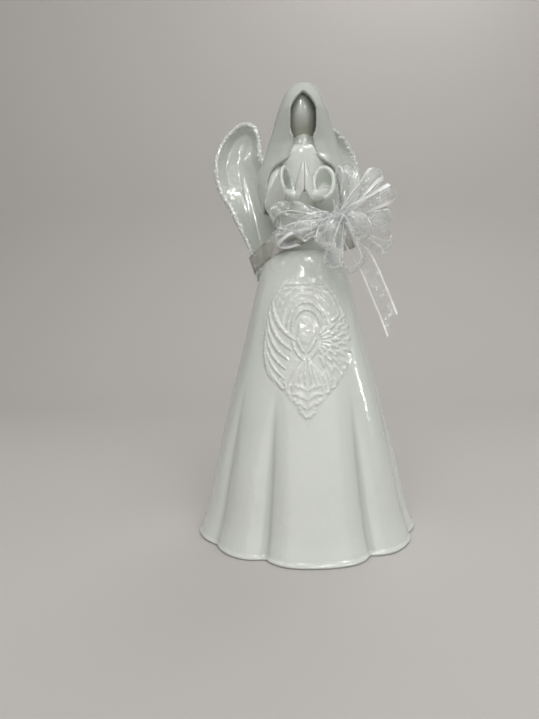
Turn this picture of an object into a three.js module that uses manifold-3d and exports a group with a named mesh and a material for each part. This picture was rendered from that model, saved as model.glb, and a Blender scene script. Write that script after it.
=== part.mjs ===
// Porcelain angel figurine with a ribbon bow, in millimetres, +Z up.
// The front faces -Y, left and right are as seen from the front, and the origin is the middle of
// the hem, on the surface that the figure stands on.
// The porcelain pieces are cast apart and luted together, so each one is a solid of its own.

import * as THREE from 'three';
import { mergeVertices } from 'three/addons/utils/BufferGeometryUtils.js';
import Module from 'manifold-3d';

const wasm = await Module();
wasm.setup();

// Fits

const seat = 0.3; // gap left between pieces that rest on each other
const overrun = 20; // how far a cutter reaches past what it cuts
const weld = 1e-4; // points nearer than this are one point

// Gown, a hollow bell with flutes

const hemRadius = 64;
const gownHeight = 161.5;
const gownWall = 3;
const gownNeckRadius = 13.2;
const hemRound = 1.6;
const fluteDepth = 5.8;
const gownSteps = 84;
// Share of the height, share of the flare from the neck opening out to the hem
const gownFlareShares = [
  [0, 1], [0.084, 0.905], [0.272, 0.772], [0.461, 0.62], [0.644, 0.462], [0.83, 0.32],
  [0.9, 0.258], [0.947, 0.213], [0.972, 0.172], [0.99, 0.108], [0.998, 0.045], [1, 0],
];
const gownLevelShares = [0.07, 0.16, 0.27, 0.38, 0.49, 0.61, 0.74, 0.86, 0.94, 0.972, 0.99];
const gownInnerShares = [0.972, 0.92, 0.75, 0.55, 0.38, 0.2];
const gownFilledTopShare = 0.998;
const slopeShare = 0.004; // share of the height either side of a point, to find its slope
// Degrees round from the front of each valley, its share of the depth, and how it fades upward
const fluteAngles = [-162, -124, -89, -55, -23, 33, 71, 111, 153];
const fluteShares = [0.85, 0.8, 0.7, 0.55, 1, 1, 0.6, 0.85, 0.8];
const fluteHalfAngle = 8;
const fluteFadeShares = [[0, 1], [0.1, 0.96], [0.27, 0.78], [0.4, 0.42], [0.52, 0.08], [0.6, 0]];

// Relief, a shield of raised work on the front of the gown

const reliefHeight = 80;
const reliefBelowTop = 15;
const reliefHalfWidth = 28;
const reliefBase = 0.8;
const reliefRise = 1.5;
const reliefAcross = 24;
const reliefUp = 22;
// Share of the height up from the point, share of the half width
const reliefOutlineShares = [
  [0, 0.03], [0.1, 0.22], [0.22, 0.5], [0.34, 0.84], [0.48, 1], [0.66, 0.98], [0.82, 0.84],
  [0.93, 0.6], [0.985, 0.3], [1, 0.06],
];
// Shares of the half width and of the height: border, boss, arch, wings of feathers and leaves
const borderShare = 0.9;
const borderHalfShare = 0.12;
const bossShares = [0.3, 0.13];
const bossMiddleShare = 0.64;
const archShare = 1.45;
const archHalfShare = 0.3;
const archRiseShare = 0.8;
const wingShares = [0.3, 0.84, 0.34, 0.86];
const feathers = 9;
const feathersDroopShare = 0.22;
const featherRiseShares = [0.35, 0.5]; // at the foot of a feather, and its crest over that
const leaves = 9;
const leafRiseShares = [0.25, 0.55];

// Bodice, neck and head

const bodiceHeight = 57;
const bodiceHalfWidth = 12.6;
const bodiceHalfDepth = 11.6;
const spigotDepth = 5;
// Share of the height, shares of half width and half depth, and of the lean of the neck
const bodiceShares = [
  [0, 1.14, 1.14, 0], [0.1, 1.05, 1.02, 0], [0.3, 0.96, 0.94, 0.1], [0.55, 0.95, 0.95, 0.3],
  [0.78, 1.04, 0.93, 0.5], [0.87, 1.1, 0.87, 0.7], [0.93, 0.94, 0.8, 0.9], [0.97, 0.76, 0.74, 1],
  [1, 0.62, 0.67, 1],
];
const bodiceGapFromShare = 0.5;
const bodiceSteps = 28;
const neckForward = 4.4;
const neckRadius = 5.2;
const neckLength = 12;
// Share of the length from the shoulders up, share of the radius
const neckShares = [[0, 1.42], [0.12, 1.3], [0.28, 1.16], [0.5, 1.05], [1, 1]];
const neckSteps = 24;
const chinAboveBodice = 7.2;
const headHeight = 22.8;
const headHalfWidth = 6.7;
const headHalfDepth = 8.2;
const headForward = 6.2;
const headSteps = 24;
// Share of the height from the chin up, share of the half width
const headShares = [
  [0, 0.62], [0.03, 0.76], [0.1, 0.87], [0.25, 0.97], [0.42, 1], [0.58, 0.95], [0.72, 0.83],
  [0.84, 0.64], [0.93, 0.42], [0.98, 0.22], [1, 0.06],
];

// Veil, hood and mantle in one shell with a pointed opening

const veilHalfWidth = 26.5;
const veilHalfDepth = 13.4;
const veilWall = 2.4;
const veilLeast = 12; // least half width and half depth inside, before the shares of a ring
const hoodGap = 3;
const mantleDrop = 34;
// Share of the height, shares of half width and half depth, and of the depth that it leans forward
const veilShares = [
  [0, 0.89, 1, 0], [0.07, 0.96, 1.01, 0], [0.15, 0.995, 1, 0], [0.23, 1, 1, 0],
  [0.31, 0.96, 0.97, 0.01], [0.43, 0.84, 0.93, 0.05], [0.52, 0.755, 0.94, 0.11],
  [0.6, 0.68, 1, 0.21], [0.68, 0.61, 1.08, 0.3], [0.76, 0.545, 1.16, 0.37],
  [0.84, 0.465, 1.06, 0.4], [0.91, 0.38, 0.84, 0.42], [0.96, 0.28, 0.58, 0.44],
  [0.985, 0.18, 0.36, 0.45], [1, 0.04, 0.08, 0.45],
];
const veilSteps = 40;
const openingSteps = 40;
// Half of the opening, as shares of the veil's height and half width, from the hem up
const openingShares = [
  [0, 0.84], [0.17, 0.79], [0.27, 0.73], [0.334, 0.634], [0.365, 0.5], [0.395, 0.335], [0.43, 0.28],
  [0.48, 0.235], [0.543, 0.205], [0.58, 0.245], [0.62, 0.272], [0.68, 0.28], [0.74, 0.27],
  [0.78, 0.245], [0.82, 0.175], [0.86, 0.085], [0.885, 0],
];

// Arms, sleeves and praying hands

const elbowSpreadLeft = 15;
const elbowSpreadRight = 13.6;
const shoulderSpread = 13;
const shoulderBelowTop = 10;
const elbowBelowTop = 31;
const elbowForward = 8;
const shoulderForward = 1.5;
const shoulderRadius = 5.8;
const elbowRadius = 6.6;
const cuffSpreadLeft = 8.8;
const cuffSpreadRight = 10.7;
const cuffBelowTop = 21.6;
const cuffForward = 18.4;
const cuffHalfHeight = 9.8;
const cuffHalfWidth = 6.3;
const cuffRoll = 8; // degrees that the top of the cuff turns outward
// Degrees that the mouth of the cuff is turned inward, to the hands
const cuffTurnLeft = 32;
const cuffTurnRight = 6;
const cuffHang = 26; // degrees that the mouth of the cuff hangs steeper than square to the arm
const cuffWall = 1.5;
const cuffDepth = 6.5;
const cuffOpening = 1.4; // power by which the sleeve opens toward the cuff
// Share of the forearm from the elbow, and shares of the depth of the hollow in the cuff
const sleeveShares = [0, 0.35, 0.7, 1];
const hollowShares = [1, 0.9, 0.5, -0.08];
const sleeveSteps = 24;
// Degrees round each ball of a taper, where its rings lie, and the least share of its radius
const ballAngles = [4, 30, 60, 90];
const ballPoleShare = 0.06;
const taperSteps = 20;
const wristSpread = 5.6;
const wristAboveHeel = 2.6;
const palmHeelBelowTop = 32.2;
const palmLength = 19.8;
const palmHalfWidth = 4.2;
const palmThick = 5;
const palmForward = 22.8;
const palmLean = 2.2;
const palmSteps = 10;
const palmSplay = 3.2; // how far apart the heels of the hands stand from the middle
const wristRadius = 3.1;
const forearmRadius = 3.6;
// Share of the length from the heel of the hand up, shares of thickness, half width and splay
const palmShares = [
  [0, 0.5, 0.6, 1], [0.1, 0.85, 0.86, 0.6], [0.25, 1, 1, 0.02], [0.4, 0.95, 1, 0],
  [0.58, 0.76, 0.94, 0], [0.75, 0.54, 0.78, 0], [0.89, 0.36, 0.54, 0], [0.97, 0.24, 0.36, 0],
  [1, 0.12, 0.18, 0],
];

// Wings, dished blades with a rounded rim and a long tail

const wingSpan = 44.4;
const wingHeight = 113;
const wingTopAboveBodice = 25.4;
const wingRootSpread = 6;
const wingRootBack = 12.6;
const wingSweep = 20; // degrees
const wingTurn = 14.5; // degrees that the pair is turned to the left on the back
const wingLean = 0.18; // slope backward
const wingPivotBelowTop = 18;
const wingDish = 4.6;
const wingWall = 2.4;
const wingRim = 2;
const wingRimWidth = 5.4;
const wingFullWidth = 13; // half width at which the dish has its full depth
// Outline as shares of span and height, from the tail up the outer side and down the inner side
const wingOutlineShares = [
  [0.5, 0], [0.475, 0.11], [0.5, 0.19], [0.545, 0.262], [0.615, 0.335], [0.725, 0.428],
  [0.82, 0.516], [0.93, 0.592], [0.985, 0.665], [1, 0.744], [0.965, 0.82], [0.885, 0.886],
  [0.765, 0.944], [0.62, 0.986], [0.49, 0.998], [0.38, 0.972], [0.32, 0.9], [0.3, 0.8],
  [0.2, 0.7], [0.1, 0.6], [0.1, 0.48], [0.17, 0.36], [0.27, 0.25], [0.37, 0.13], [0.44, 0.02],
];
const wingSpineShares = [[0.46, 0.06], [0.43, 0.3], [0.6, 0.62], [0.65, 0.78]];
const wingSteps = 52;
const wingSpinePoints = 60;
// Inset as a share of the rim's width, most share of the way in, and share of the rim's height
const wingRimShares = [[0.12, 0.1, 0.75], [0.45, 0.24, 1], [0.85, 0.4, 0.1]];
// The same for the dish: share of its depth, and share of the wall's thickness behind it
const wingDishShares = [[1.4, 0.58, 0.5, 0], [2.4, 0.78, 0.85, 0], [9, 0.9, 1, 0]];
const wingUnderShares = [
  [9, 0.9, 1, 1], [2.4, 0.74, 1, 0.8], [1.2, 0.46, 0.5, 1], [0.35, 0.16, 0, 0.9],
];
// Least share of the rim's height and of the dish's depth, where the blade is narrow
const wingNarrowShares = [0.55, 0.3];

// Ribbon

const ribbonWidth = 10;
const ribbonThick = 0.5;
const gatherShare = 0.22; // share of the width left where the ribbon is gathered
const sashHeight = 4.5; // above the top of the gown, where its slanted plane meets the axis
const sashRiseShare = 0.345; // slope up to the right
const sashFallShare = 0.2; // slope up to the front
const sashSpacing = 0.5; // least distance between the corners of the taut line
const mitreLeastShare = 0.5; // keeps the band's width at a sharp corner
const sashEndApart = 3; // how far apart the two ends come to the knot
const knotRight = 18.4;
const knotForward = 26;
const knotHeight = 14.5; // above the top of the gown
const knotHalfWidth = 4.8;
const knotHalfHeight = 2.8;
const knotLength = 12.5;
// Share of the length from end to end, share of the half width and half height
const knotShares = [
  [-0.5, 0.4], [-0.46, 0.9], [-0.32, 1], [-0.16, 0.86], [0, 1], [0.16, 0.86], [0.32, 1], [0.46, 0.9],
  [0.5, 0.4],
];
const knotSteps = 20;
// Degrees from right to up, layer, share of the length, share of the bulge, degrees of tilt to the
// front and of twist
const loopShares = [
[77, 1, 0.86, 1, 2, 0], [3, 1, 0.76, 1, 0, 14], [-169, 1, 0.97, 0.8, 2, 0],
  [51, 0, 0.86, 1, 14, -8], [-27, 0, 0.86, 1.5, 10, 10], [-82, 0, 0.76, 2.3, 4, 90],
  [174, 0, 1.02, 1, 10, 0], [26, -1, 0.86, 1, 28, 0], [-106, -0.75, 0.76, 1.1, 24, 4],
  [-160, -0.8, 0.8, 1.2, 30, 0], [-124, -1.6, 0.62, 1.1, 50, 0], [-38, -1.5, 0.58, 1.2, 54, 0],
];
const loopLength = 36;
const loopBulge = 4;
const loopLayer = 4;
const loopSteps = 18;
const loopFullness = 0.8; // power by which a loop widens from its root
const loopStepShare = 0.01;
const tailRun = 64;
const tailSteps = 14;
const tailCut = 10.5; // how much longer the lower edge is than the upper one at the slanted end
const tailCutFromShare = 0.8;
const tailFullShare = 0.3;
// Shares of the run to the right and up from the knot, and of the knot's distance back
const tailShares = [
  [0.012, 0.19, -0.062], [0.1, 0.3, -0.17], [0.24, 0.3, -0.358], [0.335, 0.26, -0.58],
  [0.42, 0.24, -0.786], [0.4625, 0.24, -0.898],
];

const deg = THREE.MathUtils.degToRad;
const gownTop = gownHeight;
const bodiceTop = gownTop + bodiceHeight;

// Materials

const material = (color, roughness) => (
  new THREE.MeshStandardMaterial({ color, roughness, metalness: 0 })
);
const porcelain = () => material(0xdfe2dc, 0.14);
const organza = () => material(0xeef0ec, 0.45);

// A smooth function through a short table of [place, value] rows; column picks the value
function through(table, column = 1) {
  const slope = (i) => {
    const before = table[Math.max(i - 1, 0)];
    const after = table[Math.min(i + 1, table.length - 1)];
    return (after[column] - before[column]) / (after[0] - before[0]);
  };
  return (place) => {
    const next = table.findIndex((row) => place < row[0]);
    const i = next < 0 ? table.length - 2 : Math.max(next - 1, 0);
    const [from, to] = [table[i], table[i + 1]];
    const run = to[0] - from[0];
    const t = THREE.MathUtils.clamp((place - from[0]) / run, 0, 1);
    const s = t * t * (3 - 2 * t);
    const lift = t * (1 - t) * (1 - t) * slope(i) * run - t * t * (1 - t) * slope(i + 1) * run;
    return from[column] + (to[column] - from[column]) * s + lift;
  };
}

// A closed surface over rings of points with the same count: capped at both ends, or joined
// from the last ring back to the first
function skin(rings, joined = false) {
  const count = rings[0].length;
  const points = rings.flat();
  const faces = [];
  const bands = joined ? rings.length : rings.length - 1;
  for (let r = 0; r < bands; r += 1) {
    const low = r * count;
    const high = ((r + 1) % rings.length) * count;
    for (let k = 0; k < count; k += 1) {
      const next = (k + 1) % count;
      faces.push(low + k, low + next, high + next, low + k, high + next, high + k);
    }
  }
  if (!joined) {
    for (const [ring, first, turn] of [[rings[0], 0, 1], [rings.at(-1), points.length - count, 0]]) {
      const middle = new THREE.Vector3();
      ring.forEach((p) => middle.addScaledVector(p, 1 / count));
      points.push(middle);
      for (let k = 0; k < count; k += 1) {
        const pair = [first + k, first + ((k + 1) % count)];
        if (turn) pair.reverse();
        faces.push(points.length - 1, ...pair);
      }
    }
  }
  return facingOut(surface(points, faces));
}

function surface(points, faces) {
  const geometry = new THREE.BufferGeometry().setFromPoints(points);
  geometry.setIndex(faces);
  return geometry;
}

// Turns every face round when the enclosed volume comes out negative
function facingOut(geometry) {
  const at = geometry.attributes.position;
  const index = geometry.index.array;
  const corner = [0, 1, 2].map(() => new THREE.Vector3());
  let volume = 0;
  for (let i = 0; i < index.length; i += 3) {
    corner.forEach((c, k) => c.fromBufferAttribute(at, index[i + k]));
    volume += corner[0].dot(corner[1].clone().cross(corner[2]));
  }
  if (volume < 0) {
    for (let i = 0; i < index.length; i += 3) {
      [index[i + 1], index[i + 2]] = [index[i + 2], index[i + 1]];
    }
  }
  return geometry;
}

// Solids for joining and cutting, and back again

function solid(geometry) {
  const bare = geometry.clone();
  bare.deleteAttribute('normal');
  bare.deleteAttribute('uv');
  const merged = mergeVertices(bare, weld);
  return new wasm.Manifold(new wasm.Mesh({
    numProp: 3,
    vertProperties: new Float32Array(merged.attributes.position.array),
    triVerts: new Uint32Array(merged.index.array),
  }));
}

function shape(body) {
  const mesh = body.getMesh();
  const geometry = new THREE.BufferGeometry();
  geometry.setAttribute('position', new THREE.BufferAttribute(mesh.vertProperties, 3));
  geometry.setIndex(new THREE.BufferAttribute(mesh.triVerts, 1));
  return geometry;
}

function cut(geometry, ...cutters) {
  return shape(cutters.reduce((body, cutter) => body.subtract(solid(cutter)), solid(geometry)));
}

// The largest body of a piece that a cut has left in parts
function largest(geometry) {
  const bodies = solid(geometry).decompose().sort((a, b) => b.volume() - a.volume());
  return shape(bodies[0]);
}

function join(first, second) {
  return shape(solid(first).add(solid(second)));
}

function mesh(name, geometry, material) {
  const flat = geometry.index ? geometry.toNonIndexed() : geometry;
  flat.computeVertexNormals();
  const made = new THREE.Mesh(flat, material);
  made.name = name;
  return made;
}

// An ellipse of points round a centre, in the plane of two directions
function ellipse(centre, across, along, steps) {
  return Array.from({ length: steps }, (_, k) => {
    const a = (2 * Math.PI * k) / steps;
    return centre.clone().addScaledVector(across, Math.cos(a)).addScaledVector(along, Math.sin(a));
  });
}

const right = new THREE.Vector3(1, 0, 0);
const back = new THREE.Vector3(0, 1, 0);
const up = new THREE.Vector3(0, 0, 1);

// Gown

const gownFlare = through(gownFlareShares);
const fluteFade = through(fluteFadeShares);

function gownProfile(share) {
  return gownNeckRadius + (hemRadius - gownNeckRadius) * gownFlare(share);
}

function fluteAt(share, angle) {
  const depth = fluteAngles.reduce((sum, valley, i) => {
    const away = THREE.MathUtils.euclideanModulo(angle - valley + 180, 360) - 180;
    return sum + fluteShares[i] * Math.exp(-((away / fluteHalfAngle) ** 2));
  }, 0);
  return fluteDepth * fluteFade(share) * depth;
}

// Radius of the gown's outer face at a height and an angle in degrees from the front
function gownRadius(height, angle) {
  const share = THREE.MathUtils.clamp(height / gownHeight, 0, 1);
  return gownProfile(share) - fluteAt(share, angle);
}

function round(radius, angle, height) {
  return new THREE.Vector3(radius * Math.sin(deg(angle)), -radius * Math.cos(deg(angle)), height);
}

function gownRing(radius, height, share = height / gownHeight) {
  return Array.from({ length: gownSteps }, (_, k) => {
    const angle = (360 * k) / gownSteps;
    return round(radius - fluteAt(share, angle), angle, height);
  });
}

// A point inside the wall, square to the profile
function gownInside(share) {
  const rise = 2 * slopeShare * gownHeight;
  const run = gownProfile(share + slopeShare) - gownProfile(share - slopeShare);
  const length = Math.hypot(rise, run);
  return [
    gownProfile(share) - (gownWall * rise) / length,
    share * gownHeight + (gownWall * run) / length,
  ];
}

function gown() {
  const rings = [
    gownRing(hemRadius - hemRound, 0),
    gownRing(hemRadius, hemRound),
    ...gownLevelShares.map((share) => gownRing(gownProfile(share), share * gownHeight)),
    gownRing(gownNeckRadius, gownTop, 1),
    gownRing(gownNeckRadius, gownTop - gownWall, 1),
    ...gownInnerShares.map((share) => gownRing(...gownInside(share), share)),
    gownRing(hemRadius - gownWall - hemRound, 0),
  ];
  return skin(rings, true);
}

// The gown as a filled body, larger by a gap, to cut what lies against it
function gownFilled(gap) {
  const levels = [0, ...gownLevelShares, gownFilledTopShare];
  return skin(levels.map((share) => (
    gownRing(gownProfile(share) + gap, share * gownHeight + gap, share)
  )));
}

// Relief: a border, a boss under an arch and two spread wings of feathers, over a spray of leaves

const reliefOutline = through(reliefOutlineShares);
const reliefTop = gownTop - reliefBelowTop;

function ridge(distance, halfWidth) {
  return Math.max(0, 1 - (distance / halfWidth) ** 2);
}

// How far the work stands up, as a share of the rise, at a share across and a share up
function reliefWork(across, upShare) {
  const side = Math.abs(across);
  const [bossWide, bossHigh] = bossShares;
  const [wingFrom, wingTo, wingFoot, wingHead] = wingShares;
  const fromBoss = Math.hypot(side / bossWide, (upShare - bossMiddleShare) / bossHigh);
  const border = ridge(side - borderShare, borderHalfShare);
  const boss = ridge(fromBoss, 1);
  const arch = upShare > bossMiddleShare ? archRiseShare * ridge(fromBoss - archShare, archHalfShare) : 0;
  const fan = (upShare - wingFoot + feathersDroopShare * side * side) * feathers;
  const inWing = side > wingFrom && side < wingTo && upShare > wingFoot && upShare < wingHead;
  const [featherFoot, featherLift] = featherRiseShares;
  const [leafFoot, leafLift] = leafRiseShares;
  const wing = inWing ? featherFoot + featherLift * Math.abs(Math.sin(Math.PI * fan)) : 0;
  const spray = leafFoot + leafLift * Math.abs(Math.sin((upShare * leaves + side) * Math.PI));
  return Math.max(border, boss, arch, wing, upShare < wingFoot ? spray : 0);
}

function relief() {
  const rings = Array.from({ length: reliefUp + 1 }, (_, j) => {
    const upShare = j / reliefUp;
    const height = reliefTop - reliefHeight * (1 - upShare);
    const wide = reliefHalfWidth * reliefOutline(upShare);
    const outer = Array.from({ length: reliefAcross + 1 }, (_, i) => {
      const across = (2 * i) / reliefAcross - 1;
      const angle = THREE.MathUtils.radToDeg((across * wide) / gownProfile(height / gownHeight));
      return [angle, reliefBase + reliefRise * reliefWork(across, upShare)];
    });
    const face = outer.map(([angle, rise]) => round(gownRadius(height, angle) + rise, angle, height));
    const behind = outer.map(([angle]) => round(gownRadius(height, angle) - gownWall, angle, height));
    return [...face, ...behind.reverse()];
  });
  return cut(skin(rings), gownFilled(seat));
}

// Bodice, neck and head

function bodice(gap = 0) {
  const rings = bodiceShares.map(([share, wide, deep, lean]) => {
    const lift = share > bodiceGapFromShare ? gap : 0;
    const height = gownTop + seat + share * (bodiceHeight - seat) + lift;
    return ellipse(
      new THREE.Vector3(0, -neckForward * lean, height),
      right.clone().multiplyScalar(bodiceHalfWidth * wide + gap),
      back.clone().multiplyScalar(bodiceHalfDepth * deep + gap),
      bodiceSteps,
    );
  });
  const spigot = gownNeckRadius - seat;
  const foot = [gownTop - spigotDepth, gownTop + seat].map((height) => ellipse(
    new THREE.Vector3(0, 0, height),
    right.clone().multiplyScalar(spigot),
    back.clone().multiplyScalar(spigot),
    bodiceSteps,
  ));
  return skin([...foot, ...rings]);
}

const neckAt = new THREE.Vector3(0, -neckForward, bodiceTop + seat);

function neck() {
  const rings = neckShares.map(([share, wide]) => ellipse(
    neckAt.clone().addScaledVector(up, share * neckLength),
    right.clone().multiplyScalar(neckRadius * wide),
    back.clone().multiplyScalar(neckRadius * wide),
    neckSteps,
  ));
  return cut(skin(rings), head(seat));
}

const chin = bodiceTop + chinAboveBodice;

function head(gap = 0) {
  const height = headHeight + 2 * gap;
  return skin(headShares.map(([share, wide]) => ellipse(
    new THREE.Vector3(0, -headForward, chin - gap + share * height),
    right.clone().multiplyScalar((headHalfWidth + gap) * wide),
    back.clone().multiplyScalar((headHalfDepth + gap) * wide),
    headSteps,
  )));
}

// Veil

const veilTop = chin + headHeight + hoodGap + veilWall;
const veilHem = bodiceTop - mantleDrop;
const veilHeight = veilTop - veilHem;

function veilRings(inset, top, drop) {
  return veilShares.map(([share, wide, deep, lean]) => ellipse(
    new THREE.Vector3(
      0,
      -veilHalfDepth * lean,
      veilHem + share * (top - veilHem) - (share ? 0 : drop),
    ),
    right.clone().multiplyScalar(Math.max(veilHalfWidth * wide - inset, veilLeast * wide)),
    back.clone().multiplyScalar(Math.max(veilHalfDepth * deep - inset, veilLeast * deep)),
    veilSteps,
  ));
}

function veilFilled(gap) {
  return skin(veilRings(-gap, veilTop + gap, gap));
}

function veil() {
  const outer = veilRings(0, veilTop, 0);
  const inner = veilRings(veilWall, veilTop - veilWall, overrun);
  const half = openingShares.map(([share, wide]) => new THREE.Vector2(
    veilHalfWidth * wide,
    veilHem + veilHeight * share,
  ));
  const foot = new THREE.Vector2(half[0].x, veilHem - overrun);
  const rightSide = [foot, ...new THREE.SplineCurve(half).getPoints(openingSteps)];
  const leftSide = rightSide.slice(0, -1).map((p) => new THREE.Vector2(-p.x, p.y)).reverse();
  const reach = veilHalfDepth + overrun;
  const opening = new THREE.ExtrudeGeometry(
    new THREE.Shape([...rightSide, ...leftSide]),
    { depth: reach, bevelEnabled: false, steps: 1 },
  );
  opening.rotateX(Math.PI / 2);
  return cut(skin(outer), skin(inner), opening, bodice(seat), sleeve(1, seat), sleeve(-1, seat));
}

// Arms: an upper arm joined to a forearm whose sleeve opens in a wide cuff

function along(from, to, share) {
  return new THREE.Vector3().lerpVectors(from, to, share);
}

// A round-ended taper between two balls
function taper(from, to, radiusFrom, radiusTo) {
  const axis = to.clone().sub(from).normalize();
  const across = new THREE.Vector3().crossVectors(axis, right).normalize();
  const square = new THREE.Vector3().crossVectors(axis, across);
  const rings = [];
  for (const [centre, radius, turns] of [
    [from, radiusFrom, ballAngles.map((turn) => turn - ballAngles.at(-1))],
    [to, radiusTo, ballAngles.map((turn) => turn - ballAngles[0])],
  ]) {
    for (const turn of turns) {
      const wide = radius * Math.max(Math.cos(deg(turn)), ballPoleShare);
      rings.push(ellipse(
        centre.clone().addScaledVector(axis, radius * Math.sin(deg(turn))),
        across.clone().multiplyScalar(wide),
        square.clone().multiplyScalar(wide),
        taperSteps,
      ));
    }
  }
  return skin(rings);
}

const shoulderAt = (side) => (
  new THREE.Vector3(side * shoulderSpread, -shoulderForward, bodiceTop - shoulderBelowTop)
);
const elbowAt = (side) => (
  new THREE.Vector3(
    side < 0 ? -elbowSpreadLeft : elbowSpreadRight,
    -elbowForward,
    bodiceTop - elbowBelowTop,
  )
);
const cuffAt = (side) => (
  new THREE.Vector3(
    side < 0 ? -cuffSpreadLeft : cuffSpreadRight,
    -cuffForward,
    bodiceTop - cuffBelowTop,
  )
);

function sleeve(side, gap = 0) {
  const [elbow, cuff] = [elbowAt(side), cuffAt(side)];
  const upper = taper(shoulderAt(side), elbow, shoulderRadius + gap, elbowRadius + gap);
  const axis = cuff.clone().sub(elbow).normalize();
  const level = new THREE.Vector3().crossVectors(axis, up).normalize();
  const rise = new THREE.Vector3().crossVectors(level, axis).normalize();
  level.applyAxisAngle(axis, deg(side * cuffRoll));
  rise.applyAxisAngle(axis, deg(side * cuffRoll));
  const section = (share, inset) => {
    const wide = THREE.MathUtils.lerp(elbowRadius, cuffHalfWidth, share) - inset;
    const high = THREE.MathUtils.lerp(elbowRadius, cuffHalfHeight, share ** cuffOpening) - inset;
    const hung = rise.clone().applyAxisAngle(level, deg(-cuffHang * share));
    const turned = deg((side < 0 ? cuffTurnLeft : -cuffTurnRight) * share);
    return ellipse(
      along(elbow, cuff, share),
      level.clone().applyAxisAngle(up, turned).multiplyScalar(wide),
      hung.applyAxisAngle(up, turned).multiplyScalar(high),
      sleeveSteps,
    );
  };
  const arm = join(upper, skin(sleeveShares.map((share) => section(share, -gap))));
  if (gap) return arm;
  const reach = cuffDepth / elbow.distanceTo(cuff);
  const hollow = hollowShares.map((share, i) => (
    section(1 - reach * share, i ? cuffWall : cuffWall * 2)
  ));
  return cut(arm, skin(hollow), bodice(seat), hand(side, seat));
}

function hand(side, gap = 0) {
  const heel = bodiceTop - palmHeelBelowTop;
  const rings = palmShares.map(([share, thick, wide, splay]) => (
    Array.from({ length: palmSteps + 1 }, (_, k) => {
      const a = (Math.PI * k) / palmSteps;
      return new THREE.Vector3(
        side * (seat / 2 + palmSplay * splay + (palmThick * thick + gap) * Math.sin(a)),
        -palmForward - palmLean * share + (palmHalfWidth * wide + gap) * Math.cos(a),
        heel + palmLength * share,
      );
    })
  ));
  const wrist = new THREE.Vector3(side * wristSpread, -palmForward, heel + wristAboveHeel);
  const [elbow, cuff] = [elbowAt(side), cuffAt(side)];
  const stub = along(cuff, elbow, (cuffDepth + forearmRadius / 2) / elbow.distanceTo(cuff));
  return join(skin(rings), taper(wrist, stub, wristRadius + gap, forearmRadius + gap));
}

// Wings: made for the right side, mirrored for the left, then the pair is turned on the back

function wingPoint(side, out, height, forward) {
  const sweep = deg(wingSweep);
  const lean = (height - (bodiceTop - wingPivotBelowTop)) * wingLean;
  const point = new THREE.Vector3(
    side * (wingRootSpread + out * Math.cos(sweep) + forward * Math.sin(sweep)),
    wingRootBack + lean + out * Math.sin(sweep) - forward * Math.cos(sweep),
    height,
  );
  return point.applyAxisAngle(up, deg(wingTurn));
}

function wing(side) {
  const foot = bodiceTop + wingTopAboveBodice - wingHeight;
  const place = ([out, high]) => new THREE.Vector3(out * wingSpan, foot + high * wingHeight, 0);
  const curve = new THREE.CatmullRomCurve3(wingOutlineShares.map(place), true, 'centripetal');
  const outline = curve.getSpacedPoints(wingSteps).slice(0, wingSteps);
  const spine = new THREE.CatmullRomCurve3(wingSpineShares.map(place)).getPoints(wingSpinePoints);
  const anchors = outline.map((p) => spine.reduce((best, q) => (
    q.distanceTo(p) < best.distanceTo(p) ? q : best
  )));
  const ring = ([inset, most, forward]) => outline.map((p, i) => {
    const room = p.distanceTo(anchors[i]);
    const q = along(p, anchors[i], Math.min(inset / room, most));
    const full = Math.min(1, room / wingFullWidth);
    const least = wingNarrowShares[forward > 0 ? 0 : 1];
    return wingPoint(side, q.x, q.y, forward * THREE.MathUtils.lerp(least, 1, full));
  });
  const dished = ([inset, most, depth, wall]) => (
    [inset * wingRimWidth, most, -depth * wingDish - wall * wingWall]
  );
  const rim = ([inset, most, rise]) => [inset * wingRimWidth, most, rise * wingRim];
  const rings = [
    ...wingUnderShares.map(dished), [0, 0, 0], ...wingRimShares.map(rim), ...wingDishShares.map(dished),
  ];
  return largest(cut(skin(rings.map(ring)), veilFilled(seat), bodice(seat), gownFilled(seat)));
}

// Ribbon: a thin strip with a rectangular section along a run of stations

const stripCorners = [[-1, -1], [1, -1], [1, 1], [-1, 1]];

function strip(stations) {
  return skin(stations.map(({ at, wide, thick }) => stripCorners.map(([w, t]) => (
    at.clone().addScaledVector(wide, w / 2).addScaledVector(thick, (t * ribbonThick) / 2)
  ))));
}

const knot = new THREE.Vector3(knotRight, -knotForward, gownTop + knotHeight);

// The slanted plane that the sash lies in: its upward normal, and two directions along it
const sashUp = new THREE.Vector3(-sashRiseShare, sashFallShare, 1).normalize();
const sashRight = new THREE.Vector3(1, 0, sashRiseShare).normalize();
const sashBack = new THREE.Vector3().crossVectors(sashUp, sashRight);
const sashFrame = new THREE.Matrix4()
  .makeBasis(sashRight, sashBack, sashUp)
  .setPosition(0, 0, gownTop + sashHeight);

// The taut line round a set of points, counter-clockwise
function tautLine(points) {
  const turn = (o, a, b) => (a.x - o.x) * (b.y - o.y) - (a.y - o.y) * (b.x - o.x);
  const sorted = [...points].sort((a, b) => a.x - b.x || a.y - b.y);
  const half = (list) => list.reduce((line, p) => {
    while (line.length > 1 && turn(line.at(-2), line.at(-1), p) <= 0) line.pop();
    line.push(p);
    return line;
  }, []);
  return [...half(sorted).slice(0, -1), ...half(sorted.reverse()).slice(0, -1)];
}

// Where the band touches what it ties, flattened into its own plane
function tiedPoints(carriers) {
  const reach = hemRadius + wingSpan;
  const slab = new THREE.BoxGeometry(2 * reach, 2 * reach, ribbonWidth).applyMatrix4(sashFrame);
  const flat = sashFrame.clone().invert();
  return carriers.flatMap((carrier) => {
    const at = shape(solid(carrier).intersect(solid(slab))).attributes.position;
    return Array.from({ length: at.count }, (_, i) => {
      const p = new THREE.Vector3().fromBufferAttribute(at, i).applyMatrix4(flat);
      return new THREE.Vector2(p.x, p.y);
    });
  });
}

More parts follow.
